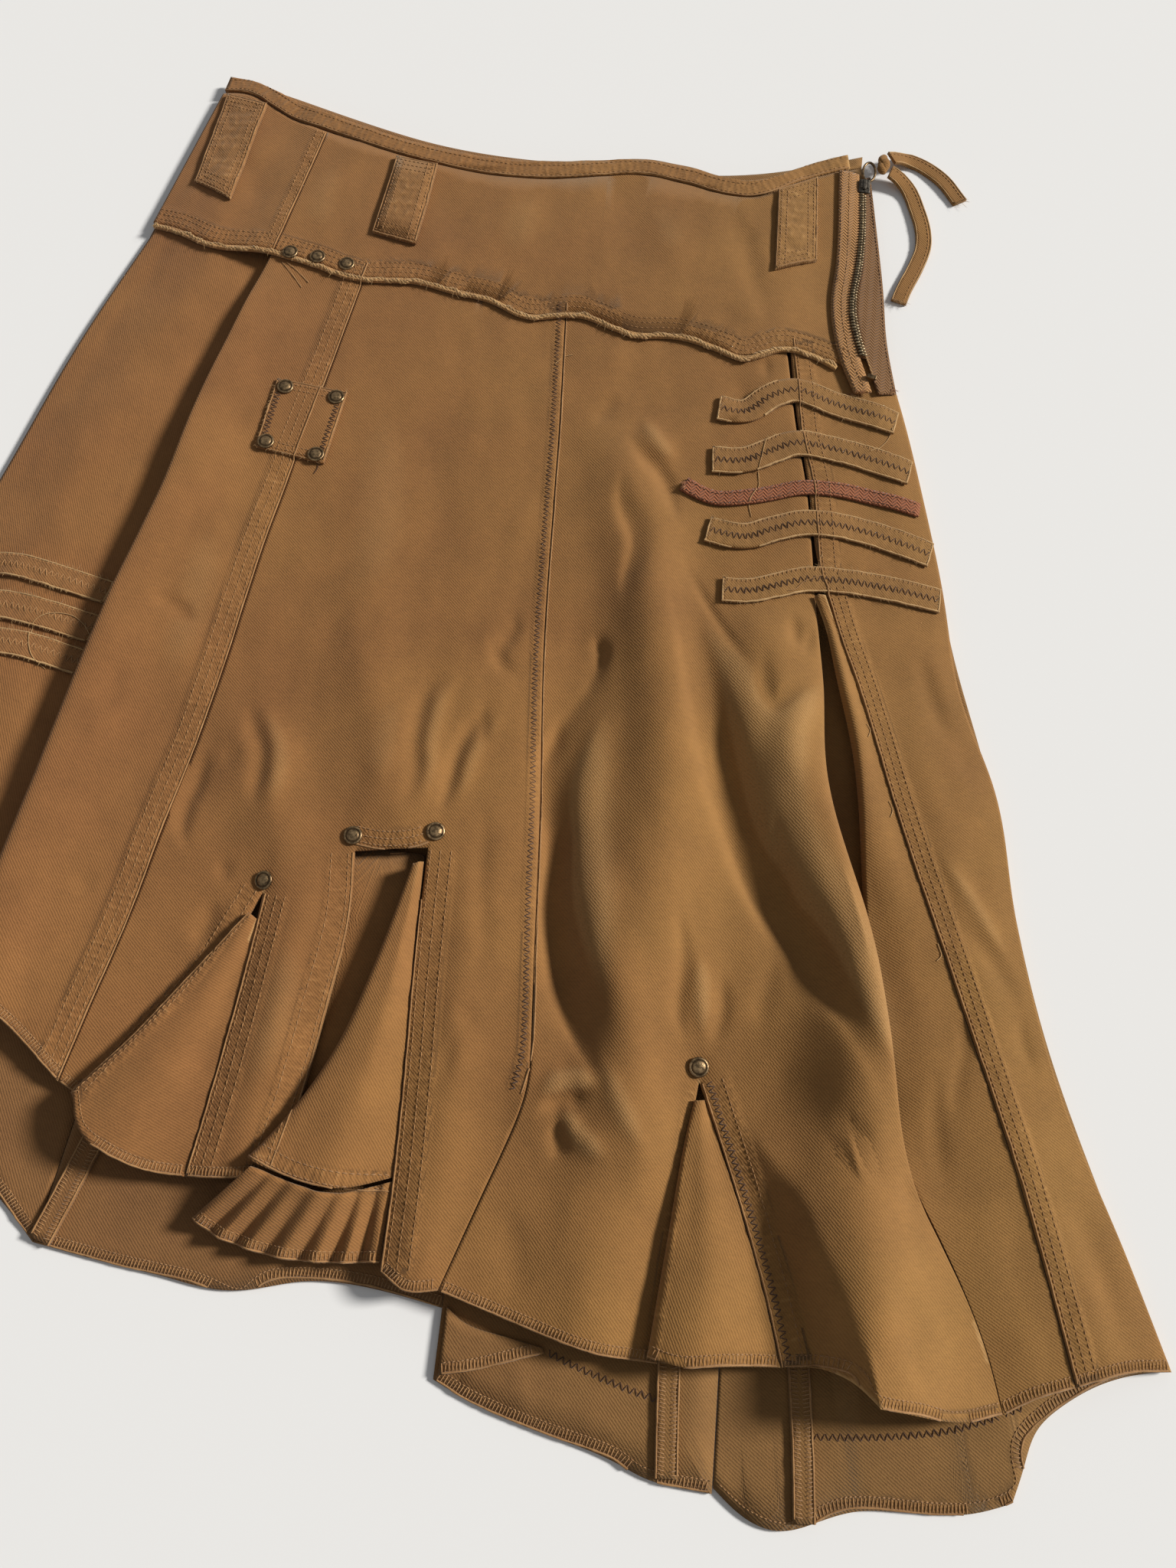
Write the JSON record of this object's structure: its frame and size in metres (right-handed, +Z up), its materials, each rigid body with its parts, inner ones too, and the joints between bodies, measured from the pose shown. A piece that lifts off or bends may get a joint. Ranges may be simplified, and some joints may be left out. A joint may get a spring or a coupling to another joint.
{
  "type": "cargo skirt",
  "caption": "Asymmetric panelled twill skirt laid flat, with a hip yoke, a waist binding, pleats, godets, hip strips, domed rivets and an outside side zip with cloth ties.",
  "frame": {"origin": "centre of the bounding box in plan, on the floor that the back of the skirt rests on", "axes": "+Z up out of the front of the skirt, +Y from the hem to the waist, +X to the zip side, which is the wearer's left"},
  "size_m": [0.7088, 0.7246, 0.0317],
  "materials": {
    "cloth": "washed cotton twill, matt with a faint sheen",
    "tape": "woven cotton tape and raw twill edge, matt",
    "brass": "antique brass, satin, darkened in the hollows",
    "dark_metal": "dark oxidised metal, satin"
  },
  "bodies": {
    "root": {"back_hem_fold": "cloth", "back_panel_left": "cloth", "back_panel_middle": "cloth", "back_panel_right": "cloth", "back_panel_side": "cloth", "back_waist_binding": "cloth", "back_yoke": "cloth", "belt_loop_1": "cloth", "belt_loop_2": "cloth", "belt_loop_3": "cloth", "front_panel_centre": "cloth", "front_panel_left": "cloth", "front_panel_right": "cloth", "front_yoke": "cloth", "godet_left": "cloth", "godet_middle_flap": "cloth", "godet_middle_underlay": "cloth", "godet_right": "cloth", "hip_strip_left_1": "cloth", "hip_strip_left_2": "cloth", "hip_strip_left_3": "cloth", "hip_strip_right_1": "cloth", "hip_strip_right_2": "cloth", "hip_strip_right_3": "tape", "hip_strip_right_4": "cloth", "hip_strip_right_5": "cloth", "pleat_gore": "cloth", "rivet_godet_left": "brass", "rivet_godet_middle_1": "brass", "rivet_godet_middle_2": "brass", "rivet_godet_right": "brass", "rivet_patch_1": "brass", "rivet_patch_2": "brass", "rivet_patch_3": "brass", "rivet_patch_4": "brass", "rivet_yoke_1": "brass", "rivet_yoke_2": "brass", "rivet_yoke_3": "brass", "ruffle": "cloth", "seam_allowance_centre": "cloth", "seam_allowance_left": "cloth", "seam_allowance_right": "cloth", "side_panel_left": "cloth", "side_panel_right": "cloth", "side_yoke": "cloth", "square_patch": "cloth", "tie_knot": "cloth", "tie_lower": "cloth", "tie_upper": "cloth", "waist_binding": "cloth", "yoke_raw_edge": "tape", "zip_chain": "brass", "zip_ring": "brass", "zip_slider": "dark_metal", "zip_stop": "brass", "zip_tape_back": "tape", "zip_tape_front": "tape"}
  },
  "joints": []
}
